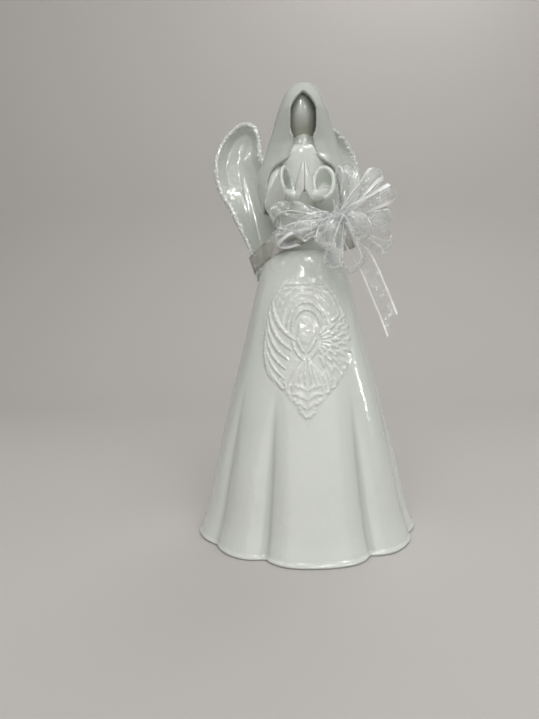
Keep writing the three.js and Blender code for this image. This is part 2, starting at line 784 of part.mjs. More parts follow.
// The band runs taut round the waist and the wings, and both its ends come to the back of the knot
function sash(carriers) {
  const off = seat + ribbonThick / 2;
  const root = knot.clone().addScaledVector(back, knotLength / 2 + 2 * off + seat / 2);
  root.applyMatrix4(sashFrame.clone().invert());
  const end = new THREE.Vector2(root.x, root.y);
  const line = tautLine([...tiedPoints(carriers), end]);
  const start = line.findIndex((p) => p.distanceTo(end) < off);
  const order = line.map((_, i) => line[(start + i) % line.length]);
  const spaced = order.reduce((kept, p) => (
    kept.length && p.distanceTo(kept.at(-1)) < sashSpacing ? kept : [...kept, p]
  ), []);
  const stations = spaced.map((p, i) => {
    const [before, after] = [spaced.at(i - 1), spaced[(i + 1) % spaced.length]];
    const into = new THREE.Vector2().subVectors(p, before).normalize();
    const away = new THREE.Vector2().subVectors(after, p).normalize();
    const outward = new THREE.Vector2(into.y + away.y, -into.x - away.x).normalize();
    return { p, outward, away, mitre: 1 / Math.max(outward.cross(away), mitreLeastShare) };
  });
  const run = [...stations, stations[0]];
  return strip(run.map(({ p, outward, away, mitre }, i) => {
    const last = i === run.length - 1;
    const edge = i && !last ? outward : new THREE.Vector2(0, -1);
    const apart = i && !last ? 0 : (last ? -1 : 1) * (sashEndApart / 2);
    const flat = p.clone().addScaledVector(edge, i && !last ? off * mitre : off);
    flat.x += apart;
    return {
      at: new THREE.Vector3(flat.x, flat.y, 0).applyMatrix4(sashFrame),
      wide: sashUp.clone().multiplyScalar(ribbonWidth * (apart ? gatherShare : 1)),
      thick: new THREE.Vector3(edge.x, edge.y, 0).transformDirection(sashFrame),
    };
  }));
}

// The gathered middle of the bow, bound tight: a pleated spool, wider than it is high
function bowKnot() {
  return skin(knotShares.map(([place, full]) => ellipse(
    knot.clone().addScaledVector(back, place * knotLength),
    right.clone().multiplyScalar(knotHalfWidth * full),
    up.clone().multiplyScalar(knotHalfHeight * full),
    knotSteps,
  )));
}

// A loop lies flat to the front unless it is twisted about its own length
function bowLoop([angle, layer, lengthShare, bulgeShare, tilt, twist]) {
  const [c, s] = [Math.cos(deg(angle)), Math.sin(deg(angle))];
  const out = new THREE.Vector3(
    c * Math.cos(deg(tilt)),
    -Math.sin(deg(tilt)),
    s * Math.cos(deg(tilt)),
  );
  const wide = new THREE.Vector3(-s, 0, c).applyAxisAngle(out, deg(twist));
  const open = new THREE.Vector3().crossVectors(wide, out).normalize();
  const root = knot.clone().addScaledVector(back, layer * loopLayer);
  const length = loopLength * lengthShare;
  const knotReach = 1 / Math.hypot(c / knotHalfWidth, s / knotHalfHeight);
  const start = (knotReach + 2 * seat) / Math.cos(deg(tilt));
  const parting = ribbonThick / 2 + seat;
  const centre = (share) => {
    const a = 2 * Math.PI * share;
    const bulge = loopBulge * bulgeShare * Math.sin(a) * Math.sin(a / 2);
    return root.clone()
      .addScaledVector(out, start + ((length - start) * (1 - Math.cos(a))) / 2)
      .addScaledVector(open, bulge + parting * Math.cos(a / 2));
  };
  return strip(Array.from({ length: loopSteps + 1 }, (_, k) => {
    const share = k / loopSteps;
    const ahead = centre(share + loopStepShare).sub(centre(share - loopStepShare)).normalize();
    const full = THREE.MathUtils.lerp(gatherShare, 1, Math.sin(Math.PI * share) ** loopFullness);
    return {
      at: centre(share),
      wide: wide.clone().multiplyScalar(ribbonWidth * full),
      thick: new THREE.Vector3().crossVectors(ahead, wide).normalize(),
    };
  }));
}

// The long end of the ribbon: it leaves the back of the knot and falls to the right, cut aslant
function ribbonTail() {
  const route = new THREE.CatmullRomCurve3(tailShares.map(([across, behind, rise]) => (
    knot.clone()
      .add(new THREE.Vector3(across, 0, rise).multiplyScalar(tailRun))
      .addScaledVector(back, behind * knotForward)
  )));
  return strip(Array.from({ length: tailSteps + 1 }, (_, k) => {
    const share = k / tailSteps;
    const ahead = route.getTangentAt(share);
    const side = new THREE.Vector3().crossVectors(back, ahead).normalize();
    const fall = THREE.MathUtils.smoothstep(share, 0, tailFullShare);
    const full = THREE.MathUtils.lerp(gatherShare, 1, fall);
    const slant = Math.max(0, (share - tailCutFromShare) / (1 - tailCutFromShare));
    return {
      at: route.getPointAt(share),
      wide: side.clone().multiplyScalar(ribbonWidth * full).addScaledVector(ahead, tailCut * slant),
      thick: new THREE.Vector3().crossVectors(ahead, side).normalize(),
    };
  }));
}

// Assembly

const angel = new THREE.Group();

function add(name, geometry, material) {
  angel.add(mesh(name, geometry, material));
}

add('gown_shell', gown(), porcelain());
add('relief_panel', relief(), porcelain());
add('bodice', bodice(), porcelain());
add('neck', neck(), porcelain());
add('head', head(), porcelain());
add('veil', veil(), porcelain());
for (const [word, side] of [['left', -1], ['right', 1]]) {
  add(`sleeve_${word}`, sleeve(side), porcelain());
  add(`hand_${word}`, hand(side), porcelain());
}
const wings = [wing(-1), wing(1)];
add('wing_left', wings[0], porcelain());
add('wing_right', wings[1], porcelain());
add('sash', sash([bodice(), gownFilled(0), ...wings]), organza());
add('bow_knot', bowKnot(), organza());
loopShares.forEach((row, i) => add(`bow_loop_${i + 1}`, bowLoop(row), organza()));
add('ribbon_tail', ribbonTail(), organza());

export default angel;
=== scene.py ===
import math

import bmesh
import bpy
import numpy as np
from mathutils import Matrix, Vector, noise


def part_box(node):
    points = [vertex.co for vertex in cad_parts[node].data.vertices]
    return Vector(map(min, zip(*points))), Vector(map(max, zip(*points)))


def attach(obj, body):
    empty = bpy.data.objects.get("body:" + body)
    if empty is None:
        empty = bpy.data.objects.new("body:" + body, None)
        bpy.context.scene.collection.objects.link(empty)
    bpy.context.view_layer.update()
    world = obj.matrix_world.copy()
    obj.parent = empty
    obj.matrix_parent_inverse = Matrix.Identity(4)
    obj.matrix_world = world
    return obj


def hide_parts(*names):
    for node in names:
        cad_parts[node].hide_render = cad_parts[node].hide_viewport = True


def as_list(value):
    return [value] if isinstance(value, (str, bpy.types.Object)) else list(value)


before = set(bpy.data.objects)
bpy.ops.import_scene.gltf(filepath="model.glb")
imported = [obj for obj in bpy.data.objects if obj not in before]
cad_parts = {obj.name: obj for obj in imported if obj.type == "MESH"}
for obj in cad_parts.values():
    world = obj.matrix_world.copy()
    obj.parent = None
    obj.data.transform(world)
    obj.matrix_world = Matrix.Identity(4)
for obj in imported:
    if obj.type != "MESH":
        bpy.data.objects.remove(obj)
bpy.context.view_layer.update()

# Camera
# The figure is seen from an arm's length, a little from its own right, and the lens looks
# slightly down and past its left side.
mm = 0.001
camera_distance = 319.9 * mm
camera_height = 122.8 * mm
camera_round = math.radians(-2)
camera_down = math.radians(4.27)
camera_aside = math.radians(3.7)
camera_roll = math.radians(-0.79)
camera_lens = 27.04

camera = bpy.data.objects.new("camera", bpy.data.cameras.new("camera"))
bpy.context.scene.collection.objects.link(camera)
heading = camera_round + camera_aside
forward = Vector((
    -math.sin(heading) * math.cos(camera_down),
    math.cos(heading) * math.cos(camera_down),
    -math.sin(camera_down),
))
level = Vector((math.cos(heading), math.sin(heading), 0))
upright = level.cross(forward)
across = level * math.cos(camera_roll) + upright * math.sin(camera_roll)
above = upright * math.cos(camera_roll) - level * math.sin(camera_roll)
place = Vector((
    camera_distance * math.sin(camera_round),
    -camera_distance * math.cos(camera_round),
    camera_height,
))
camera.matrix_world = (
    Matrix.Translation(place) @ Matrix((across, above, -forward)).transposed().to_4x4()
)
camera.data.lens = camera_lens
camera.data.sensor_width = 36
camera.data.clip_start = 0.01
bpy.context.scene.camera = camera
bpy.context.scene.view_settings.view_transform = "Standard"


# Table and light
# A pale sheet of paper lies under the figure and curves up behind it. A large soft lamp hangs
# from the ceiling, a weaker one stands in front, and small bulbs and a window give the glints.
def material(name, colour, roughness, **constants):
    made = bpy.data.materials.new(name)
    made.use_nodes = True
    shader = made.node_tree.nodes["Principled BSDF"]
    shader.inputs["Base Color"].default_value = (*colour, 1)
    shader.inputs["Roughness"].default_value = roughness
    for socket, value in constants.items():
        shader.inputs[socket.replace("_", " ")].default_value = value
    return made


def node(tree, kind, values=None, **settings):
    made = tree.nodes.new("ShaderNode" + kind)
    for key, value in settings.items():
        setattr(made, key, value)
    for socket, value in (values or {}).items():
        if hasattr(value, "is_output"):
            tree.links.new(value, made.inputs[socket])
        else:
            made.inputs[socket].default_value = value
    return made


def reckon(tree, operation, *values, clamp=False):
    made = node(tree, "Math", dict(enumerate(values)), operation=operation, use_clamp=clamp)
    return made.outputs[0]


def ranged(tree, value, start=0.0, stop=1.0, low=0.0, high=1.0):
    """The value carried from one range to another, and held at its ends."""
    return node(tree, "MapRange", {
        "Value": value, "From Min": start, "From Max": stop, "To Min": low, "To Max": high,
    }).outputs[0]


def clouds(tree, place, scale, detail=2.0):
    made = node(tree, "TexNoise", {"Vector": place, "Scale": scale, "Detail": detail})
    return made.outputs["Fac"]


def piece(name, shape, finish):
    mesh = bpy.data.meshes.new(name)
    shape.to_mesh(mesh)
    shape.free()
    mesh.shade_smooth()
    made = bpy.data.objects.new(name, mesh)
    made.data.materials.append(finish)
    bpy.context.scene.collection.objects.link(made)
    return made


sheet_half = 1.4
sheet_back = 0.75
sheet_bend = 0.35
table = bmesh.new()
bmesh.ops.create_grid(table, x_segments=1, y_segments=1, size=sheet_half)
bmesh.ops.translate(table, verts=table.verts, vec=(0, sheet_back - sheet_half, 0))
far_edge = [e for e in table.edges if all(v.co.y > sheet_back - mm for v in e.verts)]
raised = bmesh.ops.extrude_edge_only(table, edges=far_edge)["geom"]
bmesh.ops.translate(
    table, verts=[v for v in raised if isinstance(v, bmesh.types.BMVert)], vec=(0, 0, sheet_half),
)
bmesh.ops.bevel(
    table, geom=far_edge, offset=sheet_bend, segments=16, profile=0.5, affect="EDGES", material=-1,
)
paper = material("pale paper", (0.52, 0.50, 0.48), 0.85)
tree = paper.node_tree
fibre = clouds(tree, node(tree, "TexCoord").outputs["Object"], 900.0)
rough = node(tree, "Bump", {"Height": fibre, "Strength": 0.15, "Distance": 0.1 * mm})
tree.links.new(rough.outputs["Normal"], tree.nodes["Principled BSDF"].inputs["Normal"])
piece("table", table, paper)


# The bulbs show only in the glaze, and the ceiling and back lamps don't show in it
lamp_aim = Vector((0, 0, 120 * mm))
warm_white = (1, 0.985, 0.96)


def lamp(name, place, wide, high, power, colour=(1, 1, 1), glint_only=False, in_glaze=True):
    light = bpy.data.lights.new(name, "AREA")
    light.shape = "RECTANGLE"
    light.size = wide
    light.size_y = high
    light.energy = power
    light.color = colour
    made = bpy.data.objects.new(name, light)
    made.location = place
    made.rotation_euler = (lamp_aim - Vector(place)).to_track_quat("-Z", "Y").to_euler()
    made.visible_diffuse = not glint_only
    made.visible_glossy = in_glaze
    bpy.context.scene.collection.objects.link(made)


lamp("ceiling", (0.05, -0.7, 1.3), 1.2, 1.2, 14.3, warm_white, in_glaze=False)
lamp("front", (0.1, -1.1, 0.35), 2, 0.7, 2.3, warm_white)
lamp("window", (1.08, 0.08, 0.29), 0.05, 0.1, 0.8, (0.9, 1, 0.98))
bulb = 25 * mm
for name, place, power in (
    ("front_bulb", (-0.11, -0.89, 0.75), 2.6),
    ("right_bulb", (0.65, -0.72, 0.64), 2.6),
    ("left_bulb", (-0.85, -0.3, 0.95), 1.6),
    ("high_bulb", (0.15, -0.42, 1.05), 2.4),
    ("right_high_bulb", (0.56, -0.15, 1.05), 2),
    ("left_high_bulb", (-0.31, -0.45, 1.07), 2),
    ("middle_bulb", (0.32, -0.6, 0.98), 2),
):
    lamp(name, place, bulb, bulb, power, glint_only=True)
lamp("back", (0.25, 0.55, 1.0), 0.5, 0.5, 2, in_glaze=False)

# The room looks paler to the eye and in the glaze than the light it gives
room_light, room_seen = 0.22, 0.5
world = bpy.data.worlds.new("room")
world.use_nodes = True
tree = world.node_tree
background = tree.nodes["Background"]
background.inputs["Color"].default_value = (0.9, 0.92, 0.95, 1)
ray = node(tree, "LightPath").outputs
seen = reckon(tree, "ADD", ray["Is Camera Ray"], ray["Is Glossy Ray"])
seen = reckon(tree, "ADD", seen, ray["Is Transmission Ray"], clamp=True)
tree.links.new(ranged(tree, seen, low=room_light, high=room_seen), background.inputs["Strength"])
bpy.context.scene.world = world


# Gown
# The bell of the gown is slip-cast white porcelain under a clear glossy glaze: one hollow wall,
# pressed in by nine irregular flutes that fade out at the height of the relief.
hem_radius = 64 * mm
gown_height = 161.5 * mm
gown_wall = 3 * mm
gown_neck_radius = 13.2 * mm
hem_round = 1.6 * mm
flute_depth = 5.8 * mm
flute_half_angle = 8
crease_half_angle = 2.4
crease_roundness = 1.4
crease_share = 0.3
gown_levels = 90
gown_segments = 288
gown_flare_shares = [
    (0, 1), (0.084, 0.905), (0.272, 0.772), (0.461, 0.62), (0.644, 0.462), (0.83, 0.32),
    (0.9, 0.258), (0.947, 0.213), (0.972, 0.172), (0.99, 0.108), (0.998, 0.045), (1, 0),
]
# Angle from the front toward the right, and share of the full depth
flutes = [
    (-162, 0.85), (-124, 0.8), (-89, 0.7), (-55, 0.55), (-23, 1), (33, 1), (71, 0.6),
    (111, 0.85), (153, 0.8),
]
flute_fade_shares = [(0, 1), (0.1, 0.96), (0.27, 0.78), (0.4, 0.42), (0.52, 0.08), (0.6, 0)]


def through(rows):
    """A smooth curve through rows of place and value."""
    def slope(i):
        before, after = rows[max(i - 1, 0)], rows[min(i + 1, len(rows) - 1)]
        return (after[1] - before[1]) / (after[0] - before[0])

    def value(place):
        i = max(0, min(len(rows) - 2, sum(row[0] <= place for row in rows) - 1))
        (start, low), (stop, high) = rows[i], rows[i + 1]
        run = stop - start
        t = max(0, min(1, (place - start) / run))
        lift = t * (1 - t) * ((1 - t) * slope(i) - t * slope(i + 1)) * run
        return low + (high - low) * t * t * (3 - 2 * t) + lift

    return value


gown_flare = through(gown_flare_shares)
flute_fade = through(flute_fade_shares)


def gown_profile(share):
    return gown_neck_radius + (hem_radius - gown_neck_radius) * gown_flare(share)


def flute_at(share, angle):
    pressed = 0
    for valley, part in flutes:
        away = (angle - valley + 180) % 360 - 180
        hollow = math.exp(-((away / flute_half_angle) ** 2))
        crease = math.exp(-(abs(away) / crease_half_angle) ** crease_roundness)
        pressed += part * ((1 - crease_share) * hollow + crease_share * crease)
    return flute_depth * flute_fade(share) * pressed


def angle_of(point):
    return math.degrees(math.atan2(point.x, -point.y))


def on_gown(angle, height, rise=0):
    share = max(0, min(1, height / gown_height))
    radius = gown_profile(share) - flute_at(share, angle) + rise
    turn = math.radians(angle)
    return Vector((radius * math.sin(turn), -radius * math.cos(turn), height))


def effect(name, takes, gives):
    """A node group by itself, with the values given to it and the sockets of its results."""
    group = bpy.data.node_groups.new(name, "ShaderNodeTree")
    for titles, way in ((takes, "INPUT"), (gives, "OUTPUT")):
        for title, kind in titles.items():
            group.interface.new_socket(name=title, in_out=way, socket_type="NodeSocket" + kind)
    given = group.nodes.new("NodeGroupInput").outputs
    return group, given, group.nodes.new("NodeGroupOutput").inputs


def finish_with(made, group, values, strength, distance):
    """Drives a material by a node group. Its height goes to the bump, the rest to the shader."""
    tree = made.node_tree
    shader = tree.nodes["Principled BSDF"].inputs
    shared = tree.nodes.new("ShaderNodeGroup")
    shared.node_tree = group
    for title, value in values.items():
        shared.inputs[title].default_value = value
    for title, socket in (("Color", "Base Color"), ("Roughness", "Roughness"), ("Alpha", "Alpha")):
        if title in shared.outputs:
            tree.links.new(shared.outputs[title], shader[socket])
    bump = node(tree, "Bump", {
        "Height": shared.outputs["Height"], "Strength": strength, "Distance": distance,
    })
    tree.links.new(bump.outputs["Normal"], shader["Normal"])
    if shader["Coat Weight"].default_value > 0:
        tree.links.new(bump.outputs["Normal"], shader["Coat Normal"])
    return made


# Clear glaze over porcelain gathers in the hollows and lies in lumps along the rims. The hollows
# take a darker colour, partly pooled glaze and partly painted shade, and small white grains
# painted on the crests stand for glints.
glaze, given, results = effect("clear_glaze", takes={
    "Body": "Color", "Gathered": "Color", "Pooling And Shade": "Float", "Wave": "Float",
    "Gloss": "Float", "Painted Glints": "Float",
}, gives={"Color": "Color", "Roughness": "Float", "Height": "Float"})
place = node(glaze, "TexCoord").outputs["Object"]
hollow = node(glaze, "Attribute", attribute_name="hollow").outputs["Fac"]
crest = node(glaze, "Attribute", attribute_name="crest").outputs["Fac"]
cloud = clouds(glaze, place, 55.0, 3.0)
depth = reckon(glaze, "ADD", hollow, ranged(glaze, cloud, low=-0.25, high=0.25))
depth = reckon(glaze, "MULTIPLY", depth, given["Pooling And Shade"], clamp=True)
tint = node(
    glaze, "Mix", {0: depth, 6: given["Body"], 7: given["Gathered"]}, data_type="RGBA",
).outputs[2]
glint_grains = ranged(glaze, clouds(glaze, place, 620.0), 0.56, 0.62)
painted_glints = reckon(glaze, "MULTIPLY", glint_grains, crest)
painted_glints = reckon(glaze, "MULTIPLY", painted_glints, given["Painted Glints"], clamp=True)
tint = node(glaze, "Mix", {0: painted_glints, 6: tint, 7: (1, 1, 1, 1)}, data_type="RGBA").outputs[2]
gloss = reckon(glaze, "MULTIPLY", ranged(glaze, cloud, low=0.7, high=1.3), given["Gloss"])
waves = clouds(glaze, place, given["Wave"])
lumps = reckon(glaze, "MULTIPLY", waves, ranged(glaze, crest, low=0.28, high=1.3))
height = reckon(glaze, "ADD", lumps, reckon(glaze, "MULTIPLY", clouds(glaze, place, 480.0), 0.05))
for result, title in ((tint, "Color"), (gloss, "Roughness"), (height, "Height")):
    glaze.links.new(result, results[title])

porcelain_white = (0.70, 0.73, 0.68)
# Painted shade: the veil, wings and neck take this darker white instead of the porcelain white
painted_shade_white = (0.53, 0.56, 0.51)
pooled_and_shaded_white = (0.50, 0.53, 0.48)


# The gathered colour in the hollows is partly pooled glaze and partly painted shade
def glazed(
    name, pooling_and_shade=0.8, wave=190.0, lump=0.8 * mm, body=porcelain_white, gathered=pooled_and_shaded_white,
    painted_glints=0.0,
):
    gloss = 0.2
    made = material(
        name, body, gloss, Specular_IOR_Level=0.3, Coat_Weight=0.95, Coat_Roughness=0.05,
        Coat_IOR=1.5,
    )
    return finish_with(made, glaze, {
        "Body": (*body, 1), "Gathered": (*gathered, 1), "Pooling And Shade": pooling_and_shade, "Wave": wave,
        "Gloss": gloss, "Painted Glints": painted_glints,
    }, 0.6, lump)


def mark_hollows(made, depth=0.3 * mm, rounds=3, spread=0, crest_from=0, crest_gain=1):
    """Marks each vertex with how far it lies below its neighbours, and how far above them."""
    mesh = made.data
    count = len(mesh.vertices)
    points = np.empty(count * 3)
    mesh.vertices.foreach_get("co", points)
    points = points.reshape(-1, 3)
    normals = np.empty(count * 3)
    mesh.vertex_normals.foreach_get("vector", normals)
    normals = normals.reshape(-1, 3)
    ends = np.empty(len(mesh.edges) * 2, int)
    mesh.edges.foreach_get("vertices", ends)
    a, b = ends.reshape(-1, 2).T
    degree = np.maximum(np.bincount(a, minlength=count) + np.bincount(b, minlength=count), 1)

    def averaged(values, times):
        for _ in range(times):
            total = np.zeros_like(values)
            np.add.at(total, a, values[b])
            np.add.at(total, b, values[a])
            around = total / (degree[:, None] if values.ndim > 1 else degree)
            values = 0.5 * values + 0.5 * around
        return values

    below = ((averaged(points, rounds * 4) - points) * normals).sum(1) / depth
    below = averaged(below, rounds)
    crest = averaged(np.clip(-below - crest_from, 0, 1), spread) * crest_gain
    for title, share in (("hollow", below), ("crest", crest)):
        mark = mesh.attributes.new(title, "FLOAT", "POINT")
        mark.data.foreach_set("value", np.clip(share, 0, 1).astype(np.float32))


gown = bmesh.new()
outer = [
    (gown_profile(k / gown_levels), gown_height * k / gown_levels) for k in range(1, gown_levels)
]
inner = [
    (gown_profile(k / gown_levels) - gown_wall, gown_height * k / gown_levels)
    for k in range(gown_levels - 2, 1, -2)
]
foot = gown_profile(0)
profile = [
    (foot - gown_wall + hem_round / 2, 0.3 * hem_round), (foot - gown_wall + hem_round, 0),
    (foot - hem_round, 0), (foot - 0.3 * hem_round, 0.3 * hem_round), (foot, hem_round),
    *outer, (gown_neck_radius, gown_height), (gown_neck_radius - gown_wall, gown_height),
    (gown_neck_radius - gown_wall, gown_height - gown_wall), *inner,
]
line = [gown.verts.new((0, -radius, height)) for radius, height in profile]
edges = [gown.edges.new(pair) for pair in zip(line, line[1:] + line[:1])]
bmesh.ops.spin(
    gown, geom=line + edges, cent=(0, 0, 0), axis=(0, 0, 1), dvec=(0, 0, 0),
    angle=2 * math.pi, steps=gown_segments, use_merge=True, use_duplicate=False,
)
bmesh.ops.remove_doubles(gown, verts=gown.verts, dist=0.01 * mm)
bmesh.ops.recalc_face_normals(gown, faces=gown.faces)
for v in gown.verts:
    round_about = Vector((v.co.x, v.co.y, 0))
    v.co -= round_about.normalized() * flute_at(v.co.z / gown_height, angle_of(v.co))
gown = piece("gown", gown, glazed("glazed gown"))
mark_hollows(gown)
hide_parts("gown_shell")
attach(gown, "root")

# Relief
# A panel of raised work on the front of the gown, moulded with it: a smooth boss under arches,
# long feathers at the left and rows of short ones at the right, and leaves and beads below, all
# low and softened by the glaze.
relief_height = 80 * mm
relief_below_top = 15 * mm
relief_half_width = 28 * mm
relief_base = 0.3 * mm
relief_rise = 0.85 * mm
relief_fade = 4 * mm
relief_tuck = 0.04 * mm
ripple_height = 0.12 * mm
ripple_length = 2.4 * mm
relief_outline_shares = [
    (0, 0.03), (0.1, 0.22), (0.22, 0.5), (0.34, 0.84), (0.48, 1), (0.66, 0.98), (0.82, 0.84),
    (0.93, 0.6), (0.985, 0.3), (1, 0.06),
]
relief_outline = through(relief_outline_shares)


def panel_edge(up):
    """Half width of the panel at a height above its foot, both in mm."""
    return relief_outline(up * mm / relief_height) * relief_half_width / mm


def bowed(start, lean, end, points=8):
    """A line from start to end, drawn toward lean on its way."""
    return [
        tuple(
            (1 - t) ** 2 * a + 2 * t * (1 - t) * b + t * t * c for a, b, c in zip(start, lean, end)
        )
        for t in (k / points for k in range(points + 1))
    ]


def laid(u, v, line, half, rise):
    """Height of a rounded strip of slip laid along a line, thin at both its ends."""
    high = np.zeros_like(u)
    count = len(line) - 1
    for k, ((ax, ay), (bx, by)) in enumerate(zip(line, line[1:])):
        run = (bx - ax) ** 2 + (by - ay) ** 2
        t = np.clip(((u - ax) * (bx - ax) + (v - ay) * (by - ay)) / run, 0, 1)
        away = np.hypot(u - ax - t * (bx - ax), v - ay - t * (by - ay))
        wide = half * (0.35 + 0.65 * np.sin(np.pi * ((k + t) / count) ** 0.8))
        high = np.maximum(high, rise * np.clip(1 - (away / wide) ** 2, 0, 1))
    return high


# Lines of the work in mm, across from the middle and up from the foot of the panel, with the
# half width and the share of the full rise of each. The first list is mirrored.
both_sides = [
    (bowed((4.8, 46), (3.4, 41.5), (0.7, 38.5)), 1.0, 0.9),
    (bowed((7.4, 44.5), (5.2, 38), (1.2, 34.5)), 0.9, 0.6),
    (bowed((3, 74), (8, 72), (14, 63)), 1.2, 0.3),
]
long_feathers, short_feathers = [], []
for k in range(9):
    high = 66 - 4.9 * k
    out = panel_edge(high) - 4.5
    long_feathers.append((
        bowed((out, high), (out - 0.5, high - 13), (out - 13 + 0.4 * k, high - 21)), 1.7, 0.6,
    ))
for row in range(4):
    for k in range(7):
        lean = math.radians(48 + 17 * k + 8 * (row % 2))
        far = 4.5 + 4.6 * row
        root = (3.5 + far * math.sin(lean), 45 + far * math.cos(lean))
        tip = (root[0] + 6 * math.sin(lean), root[1] + 6 * math.cos(lean))
        middle = ((root[0] + tip[0]) / 2 + 0.8, (root[1] + tip[1]) / 2 + 0.8)
        short_feathers.append((bowed(root, middle, tip, 4), 1.5, 0.85 - 0.1 * row))
for k in range(4):
    fan = ((0.8 + 0.8 * k, 36 - 1.4 * k), (1.2 + 2.4 * k, 30 - k), (1.6 + 3.3 * k, 22 - 1.6 * k))
    leaf = ((0.4, 19 - 4.5 * k), (4.5, 23 - 4.6 * k), (9.6 - 1.9 * k, 21.5 - 4.6 * k))
    both_sides += [(bowed(*fan), 1.1, 0.45), (bowed(*leaf), 1.6, 0.42)]
curl = [(k / 2, 1 - k / 16) for k in range(13)]
both_sides.append((
    [(13 + 3.1 * math.sin(turn) * near, 22 + 3.1 * math.cos(turn) * near) for turn, near in curl],
    0.9, 0.65,
))
beads = [(panel_edge(up) - 4.2, up) for up in range(6, 36, 4)]
boss_place, boss_half_width, boss_half_height = 50, 5.2, 7.6


def relief_work(u, v, edge):
    """Share of the full rise at a place on the panel, in mm from its middle and its foot."""
    side = np.abs(u) + 0.35 * np.sin(v / 5) * np.sign(u)
    around = np.hypot(side / boss_half_width, (v - boss_place) / boss_half_height)
    work = 0.95 * np.clip(1 - around ** 2, 0, 1) ** 0.6
    above = np.clip((v - boss_place + 2) / 5, 0, 1)
    for far, half, rise in ((1.5, 0.17, 0.7), (1.98, 0.15, 0.55), (2.6, 0.2, 0.3)):
        work = np.maximum(work, rise * above * np.clip(1 - ((around - far) / half) ** 2, 0, 1))
    for across, strips in ((side, both_sides), (-u, long_feathers), (u, short_feathers)):
        for line, half, rise in strips:
            work = np.maximum(work, laid(across, v, line, half, rise))
    for across, high in beads:
        away = np.hypot(side - across, v - high)
        work = np.maximum(work, 0.35 * np.clip(1 - (away / 1.4) ** 2, 0, 1))
    for far, rise in ((5, 0.3), (7.6, 0.2)):
        ring = np.clip(1 - ((edge - far) / 1.2) ** 2, 0, 1) * np.clip((v - 30) / 10, 0, 1)
        work = np.maximum(work, rise * ring)
    return work


def soften(shape, rounds, verts=None):
    for _ in range(rounds):
        bmesh.ops.smooth_vert(
            shape, verts=shape.verts if verts is None else verts, factor=0.5,
            use_axis_x=True, use_axis_y=True, use_axis_z=True,
        )


relief = bmesh.new()
bmesh.ops.create_grid(relief, x_segments=160, y_segments=220, size=1)
relief.verts.ensure_lookup_table()
grid = np.array([v.co[:2] for v in relief.verts])
up_share = (grid[:, 1] + 1) / 2
wide = np.array([relief_outline(share) for share in up_share]) * relief_half_width
u, v = grid[:, 0] * wide, up_share * relief_height
edge = np.minimum(wide - np.abs(u), np.minimum(v, relief_height - v))
raised = relief_base + relief_rise * relief_work(u / mm, v / mm, edge / mm)
fade = np.clip(edge / relief_fade, 0, 1)
fade = fade * fade * (3 - 2 * fade)
relief_foot = gown_height - relief_below_top - relief_height
for k, vert in enumerate(relief.verts):
    ripple = ripple_height * noise.noise(Vector((u[k], v[k], 0)) / ripple_length)
    height = relief_foot + v[k]
    angle = math.degrees(u[k] / gown_profile(height / gown_height))
    vert.co = on_gown(
        angle, height, (raised[k] + ripple) * fade[k] - relief_tuck * (1 - fade[k]),
    )
soften(relief, 4)
bmesh.ops.recalc_face_normals(relief, faces=relief.faces)
if relief.faces[0].normal.y > 0:
    bmesh.ops.reverse_faces(relief, faces=relief.faces)
# Pale grains on the ridges are painted glints, and the darker hollows are partly pooled glaze and
# partly painted shade
relief = piece("relief", relief, glazed("glazed relief", pooling_and_shade=1.2, wave=520.0, painted_glints=1.0))
mark_hollows(relief, 0.2 * mm, rounds=2, crest_gain=4)
backing = relief.modifiers.new("backing", "SOLIDIFY")
backing.thickness = 1 * mm
backing.offset = -1
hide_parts("relief_panel")
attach(relief, "root")


# Bodice, neck and head
# The body above the waist, the bare neck and the plain egg of the head are cast apart, luted
# together with slip and glazed over, so the seams are filled and soft.
slip_thickness = 0.5 * mm
crumb_size = 200
flat_bend = 1.004
dome_rounds = 30


def cast(name):
    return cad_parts[name].data


def luted(
    title, sources, finish, grain=0.6 * mm, swell=0.15 * mm, rounds=6, above=None, below=None,
    dome=None, flat_rounds=0, **marks,
):
    """Cast pieces joined with slip and softened. Of a joined pair, one side of the seam is kept.

    Flat places, and a dome above and behind a given point, may be rubbed smooth for longer.
    """
    shape = bmesh.new()
    for source in sources:
        shape.from_mesh(source)
    bmesh.ops.remove_doubles(shape, verts=shape.verts, dist=0.001 * mm)
    made = piece(title, shape, finish)
    if len(sources) > 1:
        slip = made.modifiers.new("slip", "SOLIDIFY")
        slip.thickness = slip_thickness
        slip.offset = 1
    remesh = made.modifiers.new("even", "REMESH")
    remesh.mode = "VOXEL"
    remesh.voxel_size = grain
    evened = made.evaluated_get(bpy.context.evaluated_depsgraph_get())
    shape = bmesh.new()
    shape.from_mesh(evened.to_mesh())
    made.modifiers.clear()
    known, crumbs = set(), []
    for v in shape.verts:
        if v not in known:
            lump, rim = {v}, [v]
            while rim:
                rim = {e.other_vert(at) for at in rim for e in at.link_edges} - lump
                lump |= rim
            known |= lump
            crumbs += lump if len(lump) < crumb_size else []
    bmesh.ops.delete(shape, geom=crumbs, context="VERTS")
    soften(shape, rounds)
    if flat_rounds:
        soften(shape, flat_rounds, [v for v in shape.verts if v.calc_shell_factor() < flat_bend])
    if dome:
        domed = [v for v in shape.verts if v.co.z > dome.z and v.co.y > dome.y]
        soften(shape, dome_rounds, domed)
    shape.normal_update()
    for v in shape.verts:
        v.co += v.normal * swell
    for seam, keep_above in ((above, True), (below, False)):
        if seam is not None:
            bmesh.ops.bisect_plane(
                shape, geom=shape.verts[:] + shape.edges[:] + shape.faces[:],
                plane_co=(0, 0, seam), plane_no=(0, 0, 1),
                clear_inner=keep_above, clear_outer=not keep_above,
            )
            bmesh.ops.holes_fill(shape, edges=shape.edges, sides=0)
    shape.to_mesh(made.data)
    shape.free()
    made.data.shade_smooth()
    mark_hollows(made, **marks)
    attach(made, "root")
    return made


